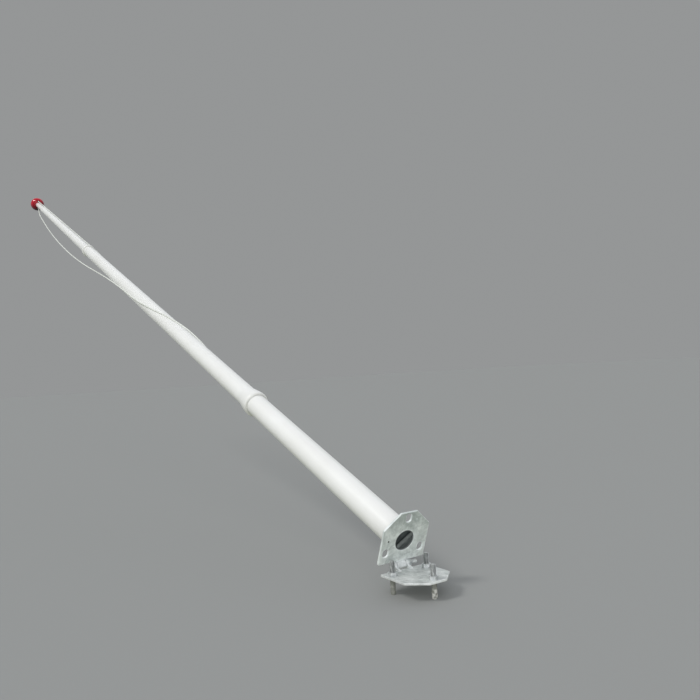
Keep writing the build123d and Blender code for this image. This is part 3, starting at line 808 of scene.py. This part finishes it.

# Truck: a red ball of two plastic shells over the tip, with a flat floor that lets the tube and
# both strands through, with painted light above and painted shade, near black, below. The cap,
# sheave and axle inside it are plain castings and turnings.
ball_radius = 60.0
ball_wall = 4.0
ball_seam = 0.55
strand_x = 34.0
strand_slot = (6, 10, 5.4)  # half width, half length, corner radius
ball_floor = tube_end - ball_wall
ball_centre = ball_floor + 36.0
red_gloss, shader = new_finish("red_gloss", (0.48, 0.008, 0.014), 0.18, Coat_Weight=0.2, Coat_Roughness=0.08)
cloud = laid_out(shader, "TexNoise", Scale=14.0, Detail=5.0)
scuff = laid_out(shader, "TexNoise", Scale=110.0, Detail=6.0, Roughness=0.7, Distortion=1.5)
# Painted light and shade: the red runs from near black on the underside to bright red on top, by height along
# a direction up and towards the near side.
toward_light = laid_out(shader, "VectorMath", operation="DOT_PRODUCT")
toward_light.inputs[1].default_value = (cos(lean), -0.5, sin(lean))
painted_light_share = pattern(shader, "MapRange", From_Min=0.022, From_Max=0.118)
painted_light_and_tone = pattern(shader, "Math", operation="MULTIPLY_ADD")
painted_light_and_tone.inputs[1].default_value = 0.24
wire(toward_light, "Value", painted_light_share, "Value", cloud, "Fac", painted_light_and_tone, 0, painted_light_share, "Result", painted_light_and_tone, 2)
reds_shaded_to_lit = [(0.20, (0.030, 0.001, 0.002)), (0.55, (0.20, 0.001, 0.010)), (0.92, (0.46, 0.003, 0.020))]
wire(*tones(painted_light_and_tone, "Value", reds_shaded_to_lit), shader, "Base Color")
wire(*tones(scuff, "Fac", [(0.45, 0.12), (0.75, 0.34)]), shader, "Roughness")
roughened(shader, cloud, "Fac", 0.05, 0.0005)


def ball_skin(radius, floor, seam):
    """Part of a sphere above its floor: r cos b round the axis and r sin b up it, with a groove of
    a bell curve where the two shells meet."""
    low = np.arcsin((floor - ball_centre) / radius)
    lift = np.r_[np.linspace(low, -0.05, 18), np.linspace(-0.04, 0.04, 13), np.linspace(0.05, pi / 2, 30)]
    lift = lift[:, None]
    reach = radius - seam * np.exp(-(lift / 0.009) ** 2)
    return skin(lean_back(swept(reach * np.cos(lift), ball_centre + reach * np.sin(lift), circle(96))))


def oblong(x, half_width, half_length, radius, steps=7):
    """Closed rectangle with round corners, its middle at x."""
    corners = [(x + a * half_width, b * half_length) for a, b in ((-1, -1), (1, -1), (1, 1), (-1, 1))]
    return rounded_outline(corners, radius, steps)


floor_holes = [ring_outline(0, 0, tip_radius + 0.3, 64)]
floor_holes += [oblong(x, *strand_slot) for x in (-strand_x, strand_x)]
shells = (ball_radius, ball_floor, ball_seam), (ball_radius - ball_wall, ball_floor + ball_wall, 0.0)
ball = [ball_skin(*shell) for shell in shells]
for radius, cut, _ in shells:
    edge = ring_outline(0, 0, sqrt(radius ** 2 - (ball_centre - cut) ** 2), 96)
    ball.append(face_between([edge] + [moved_in(hole, -1.0) for hole in floor_holes], cut, lean_back))
ball += [rim(hole, ball_floor, ball_floor + ball_wall, lean_back, -1.0, 0.6, 1.0) for hole in floor_holes]
make_piece("ball_on_truck", ball, red_gloss, "pole", "red_gloss", "truck_ball", merge=2e-5)

cast_metal = zinc_coat("cast_metal", (0.62, 0.62, 0.61), (0.42, 0.42, 0.42), (0.8, 0.8, 0.8), 0.75,
                       spangle=500.0, blotch=90.0, roughness=(0.35, 0.6))
grey_nylon, shader = new_finish("grey_nylon", (0.30, 0.31, 0.32), 0.45)
grain = laid_out(shader, "TexNoise", Scale=300.0, Detail=5.0, Roughness=0.7)
wire(*tones(grain, "Fac", [(0.3, 0.20), (0.7, 0.36)]), shader, "Base Color")
for name, finish in (("truck_cap", cast_metal), ("sheave_axle", cast_metal), ("halyard_sheave", grey_nylon)):
    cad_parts[name].material_slots[0].material = finish

# Cleat: a two-horned cleat of moulded white nylon behind and under the pole, its pad hollowed
# to the tube and held by two domed screws. Horns taper and lift towards their ends.
cleat_height = 1350.0
cleat_turn = radians(45)
pole_at_cleat = 40.08
pad_face = pole_at_cleat + 4.0
stem_top = pad_face + 18.0
pad_size = (13, 31, 12.6)  # half width, half length, corner radius
stem_size = (7, 17, 6.0)
horn_reach = 62.0
screw_reach = 24.0
screw_radius = 3.9
white_nylon, shader = new_finish("white_nylon", (0.72, 0.72, 0.69), 0.42, Subsurface_Weight=0.08,
                                 Subsurface_Radius=(0.004, 0.004, 0.003))
cloud = laid_out(shader, "TexNoise", Scale=40.0, Detail=6.0)
grain = laid_out(shader, "TexNoise", Scale=1100.0, Detail=3.0)
wire(*tones(cloud, "Fac", [(0.3, (0.62, 0.62, 0.58)), (0.7, (0.76, 0.76, 0.74))]), shader, "Base Color")
roughened(shader, grain, "Fac", 0.12, 0.0003)


def on_cleat(points):
    """The cleat is drawn on the far side of the pole and turned about the pole's axis."""
    return lean_back(turned(points, cleat_turn))


def cleat_ring(outline, share, out):
    """A ring of the cleat: a share of the outline, at a distance out from the pole's axis."""
    x, t = outline.T * share
    return np.c_[x, out + 0 * x, cleat_height + t]


pad_outline = oblong(0, *pad_size, 12)
pad = [cleat_ring(pad_outline, share, pad_face - drop)
       for share, drop in ((0.02, 0), (0.5, 0), (0.86, 0), (0.95, 0.25), (0.99, 0.7), (1.0, 1.3))]
pad += [cleat_ring(pad_outline, share, np.sqrt((pole_at_cleat + 0.3) ** 2 - (pad_outline[:, 0] * share) ** 2))
        for share in (1.0, 0.7, 0.4, 0.02)]
stem_outline = oblong(0, *stem_size, 9)
stem = [cleat_ring(stem_outline, 1 + 0.18 * (2 * up - 1) ** 6, pad_face - 1 + 20 * up)
        for up in np.linspace(0, 1, 15)]
along, angle = np.linspace(-1, 1, 81)[:, None], circle(28)
fade = np.sqrt(np.clip(1 - np.abs(along) ** 14, 0, 1))
horns = np.stack([(6.0 - 1.6 * along ** 2) * fade * np.cos(angle),
                  stem_top + 3.5 + 4.0 * along ** 2 + (5.5 - 3.0 * along ** 2) * fade * np.sin(angle),
                  cleat_height + horn_reach * along + 0 * angle], -1)
make_piece("cleat_on_pole",
           [skin(capped(on_cleat(pad))), skin(capped(on_cleat(stem))), skin(on_cleat(horns))],
           white_nylon, "pole", "white_nylon", "halyard_cleat", sharp=60)
lift = np.linspace(0, pi / 2, 8)[:, None]
head = swept(screw_radius * np.cos(lift), 2.0 * np.sin(lift), circle(96))[..., [0, 2, 1]]
screws = [skin(capped(on_cleat(head + (0, pad_face - 0.3, t)), high=False))
          for t in (cleat_height - screw_reach, cleat_height + screw_reach)]
make_piece("screws_in_cleat", screws, cast_metal, "pole", "zinc_fastener", sharp=60)

# Halyard: one endless line of 7 mm braided white polyester, over the sheave, down both sides of
# the pole and belayed on the cleat. One strand hangs slack in a long bow while the pole leans.
rope_radius = 3.5
rope_ring = 2.2
rope_sides = 16
rope_lay = 0.0088
slack_route = [
    (-34.0, 0.0, 5958.0), (-34.0, 0.0, 5937.0), (-44.0, 0.0, 5919.0), (-61.0, 0.0, 5896.0),
    (-79.0, 0.0, 5857.0), (-91.0, 0.0, 5790.0), (-102.0, 0.0, 5702.0), (-112.5, 0.0, 5604.0),
    (-122.0, -0.2, 5506.0), (-130.5, -0.5, 5407.0), (-138.0, -0.8, 5307.0), (-144.0, -1.1, 5207.0),
    (-148.5, -1.5, 5107.0), (-151.0, -1.9, 5007.0), (-152.5, -2.4, 4907.0), (-153.0, -3.0, 4807.0),
    (-152.5, -3.7, 4707.0), (-151.0, -4.5, 4607.0), (-148.5, -5.4, 4507.0), (-145.0, -6.4, 4407.0),
    (-140.0, -7.6, 4307.0), (-134.0, -9.0, 4208.0), (-127.0, -10.6, 4109.0), (-119.0, -12.4, 4010.0),
    (-110.0, -14.4, 3911.0), (-100.5, -16.6, 3812.0), (-90.0, -19.0, 3714.0), (-79.5, -21.6, 3616.0),
    (-68.5, -24.4, 3518.0), (-57.5, -27.4, 3420.0), (-46.5, -30.6, 3322.0), (-36.0, -34.0, 3224.0),
    (-26.5, -37.2, 3127.0), (-18.0, -39.6, 3030.0), (-11.5, -41.0, 2933.0),
]
laid_route = [
    (-11.5, -41.0, 2933.0), (-5.0, -42.4, 2836.0), (-2.4, -42.4, 2741.0), (0.6, -42.4, 2646.0),
    (4.6, -42.6, 2550.0), (12.0, -41.4, 2456.0), (20.2, -38.4, 2364.0), (28.4, -33.4, 2274.0),
    (36.0, -25.6, 2186.0), (41.8, -14.2, 2100.0), (44.0, -0.6, 2016.0), (42.1, 13.7, 1930.0),
    (35.1, 27.5, 1840.0), (23.7, 38.0, 1748.0), (9.4, 44.1, 1655.0), (-5.6, 45.5, 1562.0),
    (-18.9, 43.5, 1476.0), (-27.1, 41.8, 1432.0), (-32.5, 39.6, 1402.0), (-32.5, 39.6, 1376.0),
]
taut_route = [
    (-39.6, 32.5, 1376.0), (-39.6, 32.5, 1400.0), (5.0, 49.2, 3790.0), (7.0, 48.4, 3950.0),
    (34.0, 0.0, 5936.0), (34.0, 0.0, 5958.0),
]
turn_route = [
    (34.0, 0.0, 5958.0), (34.0, 0.0, 5975.0), (34.0, 0.0, 6014.1), (14.1, 0.0, 6034.0),
    (-14.1, 0.0, 6034.0), (-34.0, 0.0, 6014.1), (-34.0, 0.0, 5975.0), (-34.0, 0.0, 5958.0),
]
hitch_route = [
    (-5.0, 51.0, 1376.0), (-9.5, 49.0, 1371.0), (-12.5, 48.2, 1358.0), (-12.5, 48.0, 1338.0),
    (-10.0, 48.0, 1326.5), (0.0, 48.4, 1323.0), (10.5, 49.0, 1327.0), (13.0, 49.6, 1340.0),
    (13.0, 50.4, 1360.0), (9.0, 51.4, 1375.0), (0.0, 52.6, 1378.0), (-9.0, 54.4, 1374.0),
    (-12.5, 55.2, 1360.0), (-12.5, 55.2, 1340.0), (-9.0, 55.2, 1326.5), (1.0, 55.2, 1323.5),
    (10.5, 55.2, 1328.0), (13.0, 54.8, 1342.0), (12.0, 53.4, 1358.0), (7.5, 51.8, 1370.0),
    (5.0, 51.0, 1376.0),
]

braid, shader = new_finish("braided_line", (0.76, 0.77, 0.73), 0.85, Sheen_Weight=0.25)
weave = pattern(shader, "UVMap", uv_map="lay")
fluff = pattern(shader, "TexNoise", Scale=2.2, Detail=5.0, Roughness=0.7)
wire(weave, "UV", fluff, "Vector")
strands = []
for aslant in (45, -45):
    along = pattern(shader, "Mapping", Rotation=(0, 0, radians(aslant)))
    strand = pattern(shader, "TexWave", Scale=1.6, Distortion=0.4, Detail=2.0)
    wire(weave, "UV", along, "Vector", along, "Vector", strand, "Vector")
    strands.append((strand, "Color"))
crossed = blended(shader, "MULTIPLY", 0.8, *strands)
yarn = blended(shader, "MULTIPLY", 0.4,
               tones(*crossed, [(0.05, (0.73, 0.75, 0.71)), (0.6, (0.91, 0.93, 0.89))]),
               tones(fluff, "Fac", [(0.3, 0.78), (0.7, 1.0)]))
wire(*yarn, shader, "Base Color")
roughened(shader, *crossed, 0.5, 0.0005)


def smooth_line(name, route, resolution):
    """Points of the smooth spline that has the route's points, in metres, as its control points."""
    curve = bpy.data.curves.new(name, "CURVE")
    curve.dimensions = "3D"
    spline = curve.splines.new("NURBS")
    spline.points.add(len(route) - 1)
    spline.points.foreach_set("co", np.c_[route, np.ones(len(route))].ravel())
    spline.order_u = 3
    spline.use_endpoint_u = True
    spline.resolution_u = resolution
    carrier = bpy.data.objects.new(name, curve)
    line = bpy.data.meshes.new_from_object(carrier)
    points = np.empty(len(line.vertices) * 3)
    line.vertices.foreach_get("co", points)
    bpy.data.objects.remove(carrier)
    bpy.data.curves.remove(curve)
    bpy.data.meshes.remove(line)
    return points.reshape(-1, 3)


def braided(name, route, resolution, *nodes):
    """Braided line along a route: rings one step apart, square to the line, whose radius rises where
    a right-hand and a left-hand strand cross: cos(4a + s) cos(4a - s), and a map of turn and length."""
    line = smooth_line(name, route, resolution)
    length = np.r_[0, np.cumsum(np.linalg.norm(np.diff(line, axis=0), axis=1))]
    s = np.linspace(0, length[-1], int(length[-1] * 1000 / rope_ring) + 1)
    path = np.stack([np.interp(s, length, line[:, k]) for k in range(3)], -1)
    tangent = unit(np.gradient(path, axis=0))
    side = unit(np.cross(tangent, (0.0, 1.0, 0.0)))
    angle = circle(rope_sides)
    phase = 2 * pi * s[:, None] / rope_lay
    radius = rope_radius / 1000 * (0.96 + 0.065 * np.cos(4 * angle + phase) * np.cos(4 * angle - phase))
    grid = ringed(path, radius, angle, side[:, None], np.cross(side, tangent)[:, None])
    faces = quads(len(s), rope_sides)
    mesh = bpy.data.meshes.new(name)
    ends = [list(range(rope_sides))[::-1], list(range((len(s) - 1) * rope_sides, len(s) * rope_sides))]
    mesh.from_pydata(grid.reshape(-1, 3).tolist(), [], faces[:, ::-1].tolist() + ends)
    row, column = np.divmod(np.arange(len(faces)), rope_sides)
    turn_share = np.stack([column, column + 1, column + 1, column], -1) / rope_sides * 8.0
    run = s[np.stack([row, row, row + 1, row + 1], -1)] / (rope_lay / 2)
    lay = np.stack([turn_share, run], -1)[:, ::-1].reshape(-1, 2)
    lay = np.concatenate([lay, np.zeros((2 * rope_sides, 2))])
    mesh.uv_layers.new(name="lay").data.foreach_set("uv", lay.astype(np.float32).ravel())
    mesh.shade_smooth()
    mesh.validate()
    return as_piece(name, mesh, braid, "pole", nodes), path, float(length[-1])


braided("line_over_sheave", lean_back(turn_route), 24, "halyard_turn")
taut, taut_path, taut_length = braided("line_taut", lean_back(taut_route), 1000, "halyard_taut")
laid, laid_path, laid_length = braided("line_laid", lean_back(laid_route), 48, "halyard_laid")
slack, slack_path, slack_length = braided("line_slack", lean_back(slack_route), 48, "halyard_slack")
braided("line_on_cleat", on_cleat(hitch_route), 24, "halyard_hitch")
